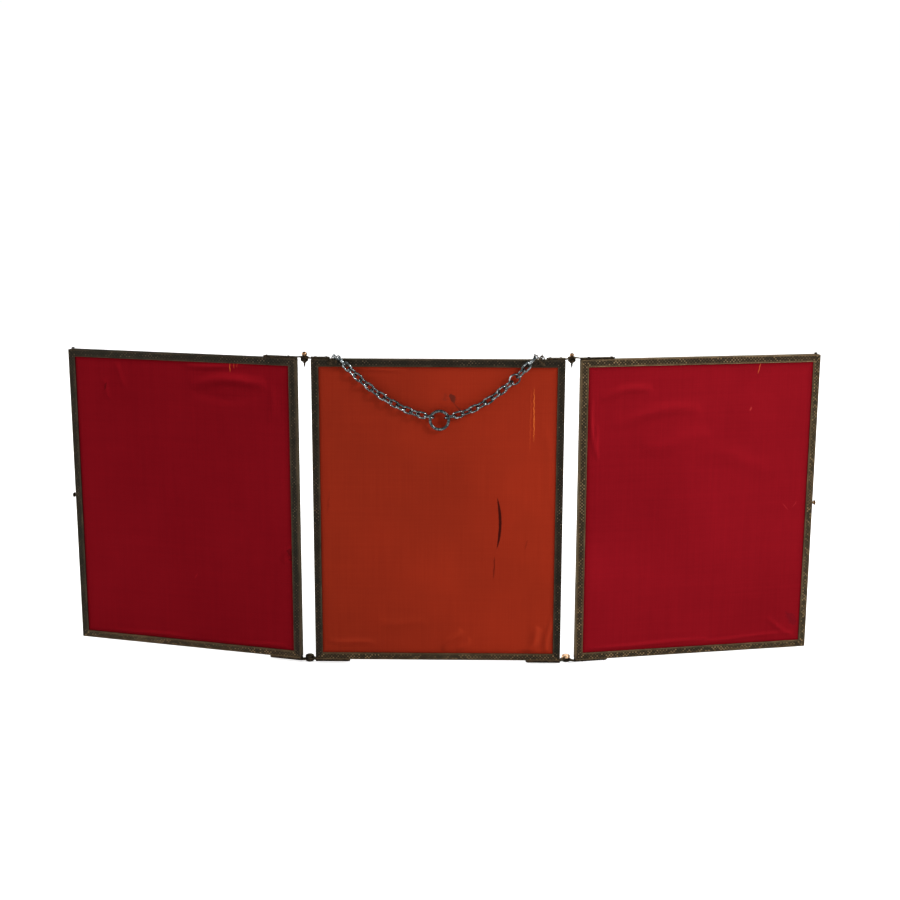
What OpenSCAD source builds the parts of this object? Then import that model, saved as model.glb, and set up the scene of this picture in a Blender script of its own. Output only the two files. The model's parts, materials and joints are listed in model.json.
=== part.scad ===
// Folding triptych mirror with satin-covered backs, seen and stored with its backs towards -Y.
// Three metal-framed plates are joined at their top and bottom edges by strap hinges, whose
// pivots stand off towards the mirror side so that the left wing shuts onto the centre panel
// and the right wing shuts over both. A chain with a central ring hangs behind the centre.

/* [Panels] */
// Width of each panel over its frame
panel_w = 242; // [180:1:320]
// Height of each panel over its frame
panel_h = 300; // [220:1:400]
// Thickness of each panel, from its back face to its mirror face
panel_t = 7.2; // [6.4:0.1:9]
// Width of the frame's face
rail_w = 7.3; // [6:0.1:12]
// Thickness of the folded frame metal
metal_t = 0.6; // [0.4:0.05:0.8]
// Radius of the frame's outer corners
corner_r = 1.4; // [0.5:0.1:1.5]
// Radius of the bead along the frame's inner lip
bead_r = 0.45; // [0.3:0.01:0.5]
// Height of the bead above the frame's back face
bead_rise = 0.35; // [0.2:0.01:0.4]

/* [Plates inside the frame] */
// Thickness of the mirror glass
glass_t = 3.0; // [2:0.1:3.2]
// Width of the polished bevel inside the frame's lip
bevel_w = 11; // [6:0.5:20]
// Depth of the bevel at the edge of the glass
bevel_d = 1.0; // [0.4:0.1:1.4]
// Thickness of the felt behind the glass
felt_t = 0.4; // [0.2:0.1:0.6]
// Thickness of the satin with its wadding
satin_t = 0.8; // [0.5:0.1:1]
// Room around the plates inside the frame
plate_clearance = 0.4; // [0.2:0.1:0.6]

/* [Folding] */
// How far the left wing stands folded towards the mirror side
left_fold = 14.8; // [0:0.1:60]
// How far the right wing stands folded towards the mirror side
right_fold = 11.2; // [0:0.1:60]
// Distance from a hinge pivot to the edge of the panel on either side
pivot_gap = 6.6; // [5.8:0.1:9]
// Space between two panels that are folded shut
shut_gap = 0.8; // [0.7:0.1:2]

/* [Hinge straps] */
// Thickness of the straps on the top edges
top_strap_t = 1.6; // [1.4:0.1:2.4]
// Thickness of the straps under the bottom edges
bottom_strap_t = 2.4; // [1.8:0.1:3]
// Length of the centre panel's top straps along its edge
centre_top_strap_l = 18; // [14:1:19]
// Length of every other strap along its edge
strap_l = 34; // [24:1:50]
// Space from a wide strap's sides to the panel's two faces
strap_inset = 0.5; // [0.3:0.1:1]
// Width of the right wing's narrow straps
narrow_strap_w = 4.2; // [3.6:0.1:5]
// Radius of the eyes that the hinge pins pass through
eye_r = 3.9; // [3.4:0.1:4.4]
// Space between the two lapped eyes of a hinge
lap_gap = 0.1; // [0.05:0.05:0.2]
// Radius of the rivets' shanks
rivet_r = 0.7; // [0.5:0.05:0.9]
// Radius of the rivets' heads
rivet_head_r = 1.5; // [1.2:0.1:1.8]
// Height of the rivets' heads
rivet_head_h = 0.7; // [0.4:0.1:1]

/* [Hinge pins] */
// Radius of the hinge pins
pin_r = 1.25; // [1:0.05:1.5]
// Radial running clearance of the wings' eyes on the pins
running_clearance = 0.07; // [0.03:0.01:0.1]
// Space between a moving eye and the pin's head
head_gap = 0.1; // [0.05:0.05:0.2]
// Radius of the left top pin's ball
left_ball_r = 2.6; // [2.2:0.1:3.4]
// Radius of the right top pin's ball
right_ball_r = 2.1; // [1.8:0.1:3.6]
// Half the width of the top finials over their flats
finial_r = 3.6; // [3:0.1:4]
// Height of the top finials' octagonal part
finial_h = 3.2; // [2.4:0.1:4]
// Length of the left finial below its octagonal part
left_drop_l = 5.6; // [3:0.1:9]
// Length of the right finial below its octagonal part
right_drop_l = 5.8; // [3:0.1:9]
// Radius of the bottom pins' heads
foot_r = 4.4; // [3.5:0.1:5]
// Height of the bottom pins' heads
foot_h = 2.0; // [1.4:0.1:3]
// Radius of the round nuts on the bottom pins
nut_r = 4.3; // [3:0.1:4.8]
// Height of the round nuts on the bottom pins
nut_h = 2.6; // [2:0.1:4]

/* [Knobs and studs] */
// Radius of the closing knobs' heads
knob_r = 2.5; // [2:0.1:3.2]
// How far the closing knobs stand out of the frame
knob_l = 4.2; // [3:0.1:6]
// Radius of the corner studs
stud_r = 1.8; // [1.4:0.1:2.4]
// Height of the corner studs
stud_h = 1.7; // [1.4:0.1:3]
// Distance from a corner stud's axis to the panel's outer edge
stud_inset = 3.8; // [3:0.1:8]

/* [Chain] */
// Distance from each hanger eye to the centre panel's nearer edge
eye_inset = 22.5; // [21:0.5:28]
// How far the chain's middle lies to the right of the panel's middle
chain_offset = 1.5; // [-4:0.5:4]
// Depth of the chain's middle below the panel's top edge
chain_sag = 55.5; // [35:0.5:80]
// Slope of the chain where it leaves the ring, which the ring's weight gives it
chain_kink = 0.08; // [0.02:0.01:0.3]
// Distance of the chain's centre line from the panel's back face
chain_standoff = 4.8; // [4.6:0.1:7]
// Longest distance from one link to the next in the left half
left_pitch = 7.4; // [6.8:0.1:9]
// Longest distance from one link to the next in the right half
right_pitch = 8.5; // [7:0.1:9]
// Diameter of the links' wire
link_wire = 1.9; // [1.5:0.1:2]
// Width of a link over its wire
link_w = 8.1; // [7.6:0.1:8.6]
// Play between two links
link_play = 0.3; // [0.2:0.05:0.5]
// Play between the hanging ring and the two links that hold it
ring_play = 0.9; // [0.7:0.1:1]
// How far the links between the two ends of each half are twisted about the chain
link_twist = 24; // [0:1:30]
// Number of the right half's round replacement link, counted from the ring
round_link = 9; // [1:2:9]
// Inner radius of the hanging ring
ring_inner_r = 7.5; // [6:0.1:9]
// Width of the hanging ring's band
ring_band = 2.7; // [2:0.1:2.9]
// Thickness of the hanging ring
ring_t = 2.6; // [2:0.1:2.8]
// How far the ring's centre hangs below the links that hold it
ring_drop = 2.0; // [0:0.1:3]

/* [Hanger eyes] */
// Radius of the hangers' wire
hanger_wire_r = 0.6; // [0.5:0.05:0.7]
// Radius of the hangers' arches, to the middle of the wire
hanger_arch_r = 2.0; // [1.8:0.1:2.6]
// Height of the arches' crowns above the panel's top edge
hanger_rise = 3.6; // [3.5:0.1:5]
// Radius of the end rings, to the middle of the wire
end_ring_r = 2.2; // [2.1:0.05:2.4]
// Radius of the end rings' wire
end_wire_r = 0.55; // [0.45:0.05:0.6]

/* [Hidden] */
$fn = 48;

LEFT = -1;
RIGHT = 1;
TOP = 1;
BOTTOM = -1;
brass_dark = [0.27, 0.25, 0.19];
brass_worn = [0.46, 0.37, 0.2];
copper = [0.62, 0.38, 0.22];
steel_blue = [0.28, 0.33, 0.36];
past = 1;  // how far a cutting shape runs past what it cuts

// Panel stack, from the back face at 0 to the mirror face at panel_t
board_y = metal_t + satin_t;
glass_y = panel_t - metal_t - glass_t;
board_t = glass_y - felt_t - board_y;
plate_edge = metal_t + plate_clearance;

// Hinge pivots: x from the centre panel's middle, y from its back face. A shut left wing
// lies shut_gap above the centre panel, and a shut right wing shut_gap above the left one.
pivot_x = panel_w / 2 + pivot_gap;
left_pivot_y = panel_t + shut_gap / 2;
right_pivot_y = 1.5 * panel_t + shut_gap;
wing_far = pivot_gap + panel_w;

// Height of the frames' bottom edges, which the bottom pins' heads stand on
lift = bottom_strap_t + head_gap + foot_h;

// The origin lies under the middle of the whole opened object's box
left_end = min(
    wing_far_x(LEFT, wing_far + knob_l, panel_t / 2 - knob_r),
    wing_far_x(LEFT, wing_far, 0));
right_end = max(
    wing_far_x(RIGHT, wing_far + knob_l, panel_t / 2 - knob_r),
    wing_far_x(RIGHT, wing_far, 0));
front_end = max([for (s = [LEFT, RIGHT])
    max(wing_far_y(s, wing_far + knob_l, panel_t / 2 + knob_r), wing_far_y(s, wing_far, panel_t))]);
back_end = -chain_standoff - link_w / 2;
origin_x = (left_end + right_end) / 2;
origin_y = (back_end + front_end) / 2;

// Hanger eyes and chain. The chain turns about the line through the arches' crowns.
hanger_y = -hanger_wire_r;
eye_x = panel_w / 2 - eye_inset;
ring_outer_r = ring_inner_r + ring_band;
ring_chord = sqrt(ring_inner_r * ring_inner_r - ring_drop * ring_drop);
ring_hold = ring_chord - ring_play + link_play / 2;  // half a link step inside the first link
ring_edge = 0.6;  // rounding of the ring's edges

// Middle of each half's last link: how far it stays short of its eye, and its height
left_stop = 7.8;
right_stop = 9.5;
left_stop_z = -1.4;
right_stop_z = -0.4;

function pivot_y(side) = side == LEFT ? left_pivot_y : right_pivot_y;
function fold(side) = side == LEFT ? left_fold : right_fold;
function pitch(side) = side == LEFT ? left_pitch : right_pitch;

// Place of a point of a folded wing: reach outward from the pivot, depth from the back face
function wing_far_x(side, reach, depth) =
    side * (pivot_x + reach * cos(fold(side)) - (depth - pivot_y(side)) * sin(fold(side)));
function wing_far_y(side, reach, depth) =
    pivot_y(side) + reach * sin(fold(side)) + (depth - pivot_y(side)) * cos(fold(side));

// Each half of the chain hangs in a parabola with a kink at the ring: u runs outward from it
function chain_span(side) =
    eye_x - side * chain_offset - (side == LEFT ? left_stop : right_stop);
function chain_bow(side) =
    ((side == LEFT ? left_stop_z : right_stop_z) + chain_sag - chain_kink * chain_span(side))
    / pow(chain_span(side), 2);
function chain_z(side, u) = -chain_sag + chain_kink * u + chain_bow(side) * u * u;
function chain_slope(side, u) = chain_kink + 2 * chain_bow(side) * u;
function arc_term(q) = q * sqrt(1 + q * q) + ln(q + sqrt(1 + q * q));
function arc_to(side, u) =
    (arc_term(chain_slope(side, u)) - arc_term(chain_kink)) / (4 * chain_bow(side));
// An even number of steps, so that the last link stands edge-on as the first one does
function link_n(side) =
    2 * ceil(((arc_to(side, chain_span(side)) - ring_hold) / pitch(side) - 0.5) / 2);
function link_step(side) = (arc_to(side, chain_span(side)) - ring_hold) / (link_n(side) + 0.5);
function link_l(side) = link_step(side) + link_play + 2 * link_wire;
// The first and last links stay level, for the ring and the wire tie
function twist(side, i) = i == 0 || i == link_n(side) ? 0 : link_twist;
function link_s(side, i) = ring_hold + (i + 0.5) * link_step(side);
// Newton's steps to the u whose arc length from the ring is s
function u_at(side, s, u = undef, steps = 6) =
    let (now = is_undef(u) ? s * 0.85 : u)
    steps == 0 ? now
    : u_at(side, s, now - (arc_to(side, now) - s) / sqrt(1 + pow(chain_slope(side, now), 2)),
        steps - 1);

// ---- Frames of reference ----

// Centre panel: x from its middle, y from its back face, z from its bottom edge
module centre_frame() {
    translate([-origin_x, -origin_y, lift]) children();
}

// A wing drawn flat beside the centre panel, then turned about its hinge
module wing_frame(side) {
    centre_frame()
    translate([side * pivot_x, pivot_y(side), 0])
    rotate([0, 0, side * fold(side)])
    translate([-side * pivot_x, -pivot_y(side), 0])
    children();
}

// A panel's own corner at x = 0, with x running outward from the hinge for a wing
module on_wing(side) {
    wing_frame(side)
    translate([side * (pivot_x + pivot_gap), 0, 0])
    mirror([side == LEFT ? 1 : 0, 0, 0])
    children();
}

module on_centre() {
    centre_frame() translate([-panel_w / 2, 0, 0]) children();
}

// Draws a shape made in the XZ plane, thick in +Y
module upright(y, thickness) {
    translate([0, y + thickness, 0]) rotate([90, 0, 0]) linear_extrude(thickness) children();
}

// ---- Panels ----

module panel_outline() {
    r = corner_r;
    translate([r, 0]) square([panel_w - 2 * r, panel_h]);
    translate([0, r]) square([panel_w, panel_h - 2 * r]);
    for (x = [r, panel_w - r], z = [r, panel_h - r]) translate([x, z]) circle(r);
}

// One side's share of the outline, cut to the mitres at its ends
module mitred_outline(edge) {
    w = rail_w;
    points =
        edge == "bottom" ? [[0, 0], [panel_w, 0], [panel_w - w, w], [w, w]] :
        edge == "top" ? [[0, panel_h], [w, panel_h - w], [panel_w - w, panel_h - w], [panel_w, panel_h]] :
        edge == "near" ? [[0, 0], [w, w], [w, panel_h - w], [0, panel_h]] :
        [[panel_w, 0], [panel_w, panel_h], [panel_w - w, panel_h - w], [panel_w - w, w]];
    intersection() {
        panel_outline();
        polygon(points);
    }
}

module lip_bead(edge) {
    at = rail_w - bead_r - 0.05;
    flat = edge == "bottom" || edge == "top";
    z = edge == "bottom" ? at : edge == "top" ? panel_h - at : 0;
    x = edge == "near" ? at : edge == "far" ? panel_w - at : 0;
    intersection() {
        upright(-past, panel_t) mitred_outline(edge);
        translate([flat ? 0 : x, bead_r - bead_rise, flat ? z : 0])
        rotate(flat ? [0, 90, 0] : [0, 0, 0])
        cylinder(r = bead_r, h = flat ? panel_w : panel_h);
    }
}

// A channel-section frame rail with mitred ends and a beaded lip. Children cut its holes.
module rail(edge, tint = brass_dark) {
    color(tint)
    difference() {
        union() {
            difference() {
                upright(0, panel_t) mitred_outline(edge);
                translate([metal_t, metal_t, metal_t])
                cube([panel_w - 2 * metal_t, panel_t - 2 * metal_t, panel_h - 2 * metal_t]);
            }
            lip_bead(edge);
        }
        children();
    }
}

// A plate as large as the frame's inside
module inner_plate(y, thickness) {
    translate([plate_edge, y, plate_edge])
    cube([panel_w - 2 * plate_edge, thickness, panel_h - 2 * plate_edge]);
}

// Section of the bevelled glass across a span, from its back at 0
module bevel_section(span) {
    w = rail_w - plate_edge + bevel_w;
    polygon([[0, 0], [span, 0], [span, glass_t - bevel_d], [span - w, glass_t], [w, glass_t],
        [0, glass_t - bevel_d]]);
}

module mirror_glass() {
    w = panel_w - 2 * plate_edge;
    h = panel_h - 2 * plate_edge;
    color([0.75, 0.8, 0.82])
    translate([plate_edge, glass_y, plate_edge])
    intersection() {
        linear_extrude(h) bevel_section(w);
        translate([w, 0, 0]) rotate([0, -90, 0]) linear_extrude(w) bevel_section(h);
    }
}

module felt() {
    color([0.2, 0.25, 0.2]) inner_plate(glass_y - felt_t, felt_t);
}

module board() {
    color([0.5, 0.38, 0.24]) inner_plate(board_y, board_t);
}

module satin(tint) {
    color(tint) inner_plate(metal_t, satin_t);
}

// ---- Hinge straps ----
// Drawn from the panel's edge at x = 0 with the panel towards +x and the pivot at x = -pivot_gap

function strap_t(level) = level == TOP ? top_strap_t : bottom_strap_t;
function strap_y0(narrow) = narrow ? panel_t - strap_inset - narrow_strap_w : strap_inset;
function strap_mid(narrow) = (strap_y0(narrow) + panel_t - strap_inset) / 2;
function rivet_places(length) = [0.24 * length, length - 3.4];

module strap_blade(length, narrow, pointed) {
    y0 = strap_y0(narrow);
    y1 = panel_t - strap_inset;
    half = (y1 - y0) / 2;
    tip = pointed ? 2.4 : half;
    difference() {
        union() {
            translate([0, y0]) square([length - tip, y1 - y0]);
            if (pointed) polygon([[length - tip, y0], [length, y0 + half], [length - tip, y1]]);
            else translate([length - tip, y0 + half]) circle(half);
        }
        for (x = rivet_places(length)) translate([x, strap_mid(narrow)]) circle(rivet_r);
    }
}

// Arm from the blade's end to the eye, which stands off towards the mirror side
module strap_arm(side, narrow) {
    y = pivot_y(side);
    polygon([[0, strap_y0(narrow)], [0, panel_t - strap_inset],
        [-pivot_gap + eye_r * 0.35, y + eye_r * 0.93],
        [-pivot_gap - eye_r * 0.2, y - eye_r * 0.97]]);
    translate([-pivot_gap, y]) circle(eye_r);
}

// The lapped eyes share the strap's thickness: upper is the half further from the panel
module strap(side, level, length, narrow = false, pointed = false, outer = false, bore_r = pin_r) {
    t = strap_t(level);
    half = (t - lap_gap) / 2;
    mirror([0, 0, level == TOP ? 0 : 1]) {
        linear_extrude(t) strap_blade(length, narrow, pointed);
        translate([0, 0, outer ? t - half : 0])
        linear_extrude(half)
        difference() {
            strap_arm(side, narrow);
            translate([-pivot_gap, pivot_y(side)]) circle(bore_r);
        }
    }
}

function edge_z(level) = level == TOP ? panel_h : 0;
function centre_strap_l(level) = level == TOP ? centre_top_strap_l : strap_l;

module centre_strap(side, level) {
    color(level == TOP ? brass_dark : brass_worn)
    centre_frame()
    mirror([side == LEFT ? 0 : 1, 0, 0])
    translate([-panel_w / 2, 0, edge_z(level)])
    strap(side, level, centre_strap_l(level));
}

module wing_strap(side, level) {
    color(level == TOP ? brass_dark : brass_worn)
    on_wing(side)
    translate([0, 0, edge_z(level)])
    strap(side, level, strap_l, narrow = side == RIGHT, pointed = side == RIGHT, outer = true,
        bore_r = pin_r + running_clearance);
}

// A domed rivet through a strap and the frame's metal
module rivet(level) {
    t = strap_t(level);
    mirror([0, 0, level == TOP ? 0 : 1]) {
        translate([0, 0, -metal_t - 0.2]) cylinder(r = rivet_r, h = t + metal_t + 0.2);
        translate([0, 0, t]) rotate_extrude()
            polygon([[0, 0], [rivet_head_r, 0], [rivet_head_r * 0.85, rivet_head_h * 0.6],
                [rivet_head_r * 0.45, rivet_head_h], [0, rivet_head_h]]);
    }
}

module strap_rivets(level, length, narrow = false) {
    for (x = rivet_places(length))
        translate([x, strap_mid(narrow), edge_z(level)]) rivet(level);
}

// Holes through a horizontal rail for the rivets of a strap that starts at x = 0
module rivet_holes(level, length, narrow = false) {
    for (x = rivet_places(length))
        translate([x, strap_mid(narrow), edge_z(level) - past])
        cylinder(r = rivet_r, h = 2 * past);
}

// ---- Hinge pins ----

module at_pivot(side, z) {
    centre_frame() translate([side * pivot_x, pivot_y(side), z]) children();
}

// Pin with a ball head that stands on the upper eye with a short collar
module top_pin(side, ball_r) {
    collar_h = 0.4;
    sunk = 0.55;  // share of the ball's radius that shows above the collar under its middle
    ball_z = top_strap_t + head_gap + collar_h + ball_r * sunk;
    color(brass_worn)
    at_pivot(side, panel_h) {
        difference() {
            translate([0, 0, ball_z]) sphere(ball_r);
            translate([0, 0, ball_z - 2 * ball_r - ball_r * sunk])
                cylinder(r = 2 * ball_r, h = 2 * ball_r);
        }
        translate([0, 0, top_strap_t + head_gap]) cylinder(r = pin_r * 1.5, h = collar_h);
        translate([0, 0, -finial_h * 0.8])
            cylinder(r = pin_r, h = finial_h * 0.8 + top_strap_t + head_gap);
    }
}

// Octagonal nut under the eyes with a turned drop that ends in a point
module finial(side, drop_l) {
    taper_h = 1.4;
    color(brass_dark)
    at_pivot(side, panel_h)
    difference() {
        union() {
            intersection() {
                translate([0, 0, -finial_h]) rotate([0, 0, 22.5])
                    cylinder(r = finial_r / cos(22.5), h = finial_h, $fn = 8);
                rotate_extrude() polygon([[0, -finial_h], [finial_r * 0.8, -finial_h],
                    [finial_r * 1.04, -finial_h * 0.7], [finial_r * 1.04, -finial_h * 0.2],
                    [finial_r * 0.9, 0], [0, 0]]);
            }
            rotate_extrude() polygon([[0, -finial_h + 0.3], [finial_r * 0.7, -finial_h + 0.3],
                [finial_r * 0.7, -finial_h], [1.3, -finial_h - taper_h],
                [0.95, -finial_h - taper_h - 0.4], [0.75, -finial_h - drop_l * 0.75],
                [0.25, -finial_h - drop_l], [0, -finial_h - drop_l]]);
        }
        translate([0, 0, -finial_h * 0.8]) cylinder(r = pin_r, h = finial_h);
    }
}

// Pin with a low domed head under the lower eye, which the object stands on
module bottom_pin(side) {
    color(brass_dark)
    at_pivot(side, 0) {
        translate([0, 0, -bottom_strap_t - head_gap]) rotate_extrude()
            polygon([[0, 0], [foot_r, 0], [foot_r, -foot_h * 0.35],
                [foot_r * 0.84, -foot_h * 0.78], [foot_r * 0.6, -foot_h], [0, -foot_h]]);
        translate([0, 0, -bottom_strap_t - head_gap])
            cylinder(r = pin_r, h = bottom_strap_t + head_gap + nut_h * 0.9);
    }
}

module bottom_nut(side) {
    color(copper)
    at_pivot(side, 0)
    difference() {
        rotate_extrude() polygon([[0, 0], [nut_r, 0], [nut_r, nut_h * 0.45],
            [nut_r * 0.88, nut_h * 0.75], [nut_r * 0.6, nut_h], [0, nut_h]]);
        translate([0, 0, -past]) cylinder(r = pin_r, h = past + nut_h * 0.9);
    }
}

// ---- Knobs and studs ----

module knob(side) {
    shank_l = metal_t + 0.2;
    color(side == LEFT ? brass_dark : brass_worn)
    on_wing(side)
    translate([panel_w, panel_t / 2, panel_h / 2])
    rotate([0, 90, 0]) {
        translate([0, 0, -shank_l]) cylinder(r = 0.9, h = shank_l);
        rotate_extrude() polygon([[0, 0], [1.7, 0], [1.2, 0.7], [1.1, knob_l - 2.2],
            [knob_r * 0.85, knob_l - 1.5], [knob_r, knob_l - 1.1], [knob_r, knob_l - 0.5],
            [knob_r * 0.7, knob_l], [0, knob_l]]);
    }
}

module knob_hole() {
    translate([panel_w - past, panel_t / 2, panel_h / 2]) rotate([0, 90, 0])
        cylinder(r = 0.9, h = 2 * past);
}

module stud(side) {
    shank_l = metal_t + 0.2;
    color(brass_dark)
    on_wing(side)
    translate([panel_w - stud_inset, panel_t / 2, panel_h]) {
        translate([0, 0, -shank_l]) cylinder(r = 0.7, h = shank_l);
        rotate_extrude() polygon([[0, 0], [1.1, 0], [1.0, stud_h * 0.35],
            [stud_r, stud_h * 0.45], [stud_r * 0.92, stud_h * 0.75], [stud_r * 0.5, stud_h],
            [0, stud_h]]);
    }
}

module stud_hole() {
    translate([panel_w - stud_inset, panel_t / 2, panel_h - past]) cylinder(r = 0.7, h = 2 * past);
}

// ---- Hanger eyes ----
// Drawn from the eye's middle at the top back edge of the centre panel, with +x outward

hanger_plate_t = 1.5;
hanger_plate_in = 2.8;    // from the eye's middle towards the panel's middle
hanger_plate_top = -0.8;  // clear of the end ring
hanger_plate_low = -5.6;
screw_x = 3.8;
screw_z = -3.2;
screw_r = 0.9;

module at_eye(side) {
    centre_frame() translate([side * eye_x, 0, panel_h]) mirror([side == LEFT ? 1 : 0, 0, 0])
    children();
}

// A wire arch whose legs run down the frame's back face into a small plate
module hanger_eye(side) {
    leg_top = hanger_rise - hanger_arch_r;
    leg_l = leg_top - hanger_plate_top + 1.5;
    plate_out = side == LEFT ? screw_x + 2.4 : hanger_plate_in;
    color(brass_dark)
    at_eye(side)
    difference() {
        union() {
            translate([0, hanger_y, leg_top]) {
                rotate([90, 0, 0]) rotate_extrude(angle = 180)
                    translate([hanger_arch_r, 0]) circle(hanger_wire_r, $fn = 24);
                for (x = [-hanger_arch_r, hanger_arch_r])
                    translate([x, 0, -leg_l]) cylinder(r = hanger_wire_r, h = leg_l, $fn = 24);
            }
            translate([-hanger_plate_in, -hanger_plate_t, hanger_plate_low])
                cube([hanger_plate_in + plate_out, hanger_plate_t,
                    hanger_plate_top - hanger_plate_low]);
        }
        if (side == LEFT) translate([screw_x, past, screw_z]) rotate([90, 0, 0])
            cylinder(r = screw_r, h = hanger_plate_t + 2 * past);
    }
}

// Round-headed screw with a drilled washer ring, through the left hanger's plate
module hanger_screw() {
    washer_r = 2.1;
    washer_t = 0.5;
    head_r = 1.5;
    color(brass_worn)
    at_eye(LEFT)
    translate([screw_x, -hanger_plate_t, screw_z])
    rotate([90, 0, 0]) {
        translate([0, 0, -hanger_plate_t - metal_t]) cylinder(r = screw_r, h = hanger_plate_t + metal_t);
        rotate_extrude() polygon([[0, 0], [washer_r, 0], [washer_r, washer_t],
            [head_r, washer_t], [head_r * 0.8, washer_t + 0.6], [head_r * 0.4, washer_t + 0.9],
            [0, washer_t + 0.9]]);
    }
}

// ---- Chain ----

module torus(major, minor) {
    rotate_extrude() translate([major, 0]) circle(minor, $fn = 24);
}

// Round wire along a straight line between two points
module wire_between(from, to, wire_r) {
    run = to - from;
    translate(from)
    rotate([0, acos(run[2] / norm(run)), atan2(run[1], run[0])])
    cylinder(r = wire_r, h = norm(run), $fn = 24);
}

// A link of round wire in the XY plane, long in X: two half rings and two straight wires
module oval_link(side) {
    bend = (link_w - link_wire) / 2;
    straight = link_l(side) - link_w;
    for (s = [-1, 1]) {
        translate([s * straight / 2, 0, 0]) rotate([0, 0, -s * 90])
            rotate_extrude(angle = 180) translate([bend, 0]) circle(link_wire / 2, $fn = 24);
        translate([-straight / 2, s * bend, 0]) rotate([0, 90, 0])
            cylinder(r = link_wire / 2, h = straight, $fn = 24);
    }
}

// Puts a shape on one half of the chain at arc length s, with its x axis along the chain
module on_chain(side, s) {
    u = u_at(side, s);
    centre_frame()
    translate([chain_offset + side * u, -chain_standoff, panel_h + chain_z(side, u)])
    rotate([0, -side * atan(chain_slope(side, u)), 0])
    children();
}

// Links next to the ring stand edge-on, so that they pass through it
module chain_half(side) {
    color(steel_blue)
    for (i = [0:link_n(side)])
        if (side == LEFT || i != round_link)
            on_chain(side, link_s(side, i))
            rotate([(i % 2 == 0 ? 0 : 90) + twist(side, i), 0, 0]) oval_link(side);
}

module round_replacement() {
    wire_r = 0.8;
    color(steel_blue)
    on_chain(RIGHT, link_s(RIGHT, round_link))
    rotate([90 + link_twist, 0, 0]) torus(link_l(RIGHT) / 2 - wire_r, wire_r);
}

// Middle of the wire at the outer end of a half's last link, seen from its eye
function last_link_end(side) =
    let (u = chain_span(side), q = chain_slope(side, u), reach = (link_l(side) - link_wire) / 2)
    [u + reach / sqrt(1 + q * q) - (eye_x - side * chain_offset), -chain_standoff,
        chain_z(side, u) + reach * q / sqrt(1 + q * q)];

// An end ring hangs on the arch's crown, down and backwards from it
end_ring_way = [0, -sin(45), -cos(45)];
end_ring_at = [0, hanger_y, hanger_rise]
    + (end_ring_r - end_wire_r - hanger_wire_r - 0.1) * end_ring_way;

module end_ring() {
    translate(end_ring_at) rotate([0, 90, 0]) torus(end_ring_r, end_wire_r);
}

// Bent wire at each end of the chain: a ring on the arch and a loop round the last link's end.
// The right one's tail stands up.
module wire_tie(side) {
    hold = last_link_end(side);
    loop_r = link_wire / 2 + end_wire_r + 0.35;
    start = end_ring_at + end_ring_r * end_ring_way;
    run = start - hold;
    way = [run[0], 0, run[2]] / norm([run[0], 0, run[2]]);
    color(side == LEFT ? steel_blue : brass_worn)
    at_eye(side) {
        end_ring();
        translate(hold + way * 0.25) rotate([90, 0, 0]) torus(loop_r, end_wire_r);
        wire_between(start, hold + way * (loop_r + 0.25), end_wire_r * 1.4);
        if (side == RIGHT)
            wire_between(hold + [0, 0, loop_r], hold + [-1.6, -0.3, loop_r + 1.1],
                end_wire_r * 0.8);
    }
}

module ring() {
    e = ring_edge;
    color(steel_blue)
    centre_frame()
    translate([chain_offset, -chain_standoff, panel_h - chain_sag - ring_drop])
    rotate([90, 0, 0])
    rotate_extrude($fn = 96)
    polygon([[ring_inner_r, -ring_t / 2 + e], [ring_inner_r + e, -ring_t / 2],
        [ring_outer_r - e, -ring_t / 2], [ring_outer_r, -ring_t / 2 + e],
        [ring_outer_r, ring_t / 2 - e], [ring_outer_r - e, ring_t / 2],
        [ring_inner_r + e, ring_t / 2], [ring_inner_r, ring_t / 2 - e]]);
}

// ---- Nodes ----

module far_side() {
    translate([panel_w, 0, 0]) mirror([1, 0, 0]) children();
}

module centre_top_rail() {
    on_centre() rail("top") {
        rivet_holes(TOP, centre_top_strap_l);
        far_side() rivet_holes(TOP, centre_top_strap_l);
        translate([eye_inset - screw_x, past, panel_h + screw_z]) rotate([90, 0, 0])
            translate([0, 0, -metal_t]) cylinder(r = screw_r, h = metal_t + 2 * past);
    }
}

module centre_bottom_rail() {
    on_centre() rail("bottom") {
        rivet_holes(BOTTOM, strap_l);
        far_side() rivet_holes(BOTTOM, strap_l);
    }
}

module wing_top_rail(side) {
    on_wing(side) rail("top") {
        rivet_holes(TOP, strap_l, narrow = side == RIGHT);
        stud_hole();
    }
}

module wing_bottom_rail(side) {
    on_wing(side) rail("bottom", brass_worn) rivet_holes(BOTTOM, strap_l, narrow = side == RIGHT);
}

module wing_outer_rail(side) {
    on_wing(side) rail("far", side == LEFT ? brass_dark : brass_worn) knob_hole();
}

module centre_rivets() {
    color(brass_dark)
    on_centre()
    for (level = [TOP, BOTTOM]) {
        strap_rivets(level, centre_strap_l(level));
        far_side() strap_rivets(level, centre_strap_l(level));
    }
}

module wing_rivets(side) {
    color(brass_dark)
    on_wing(side)
    for (level = [TOP, BOTTOM]) strap_rivets(level, strap_l, narrow = side == RIGHT);
}

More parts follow.
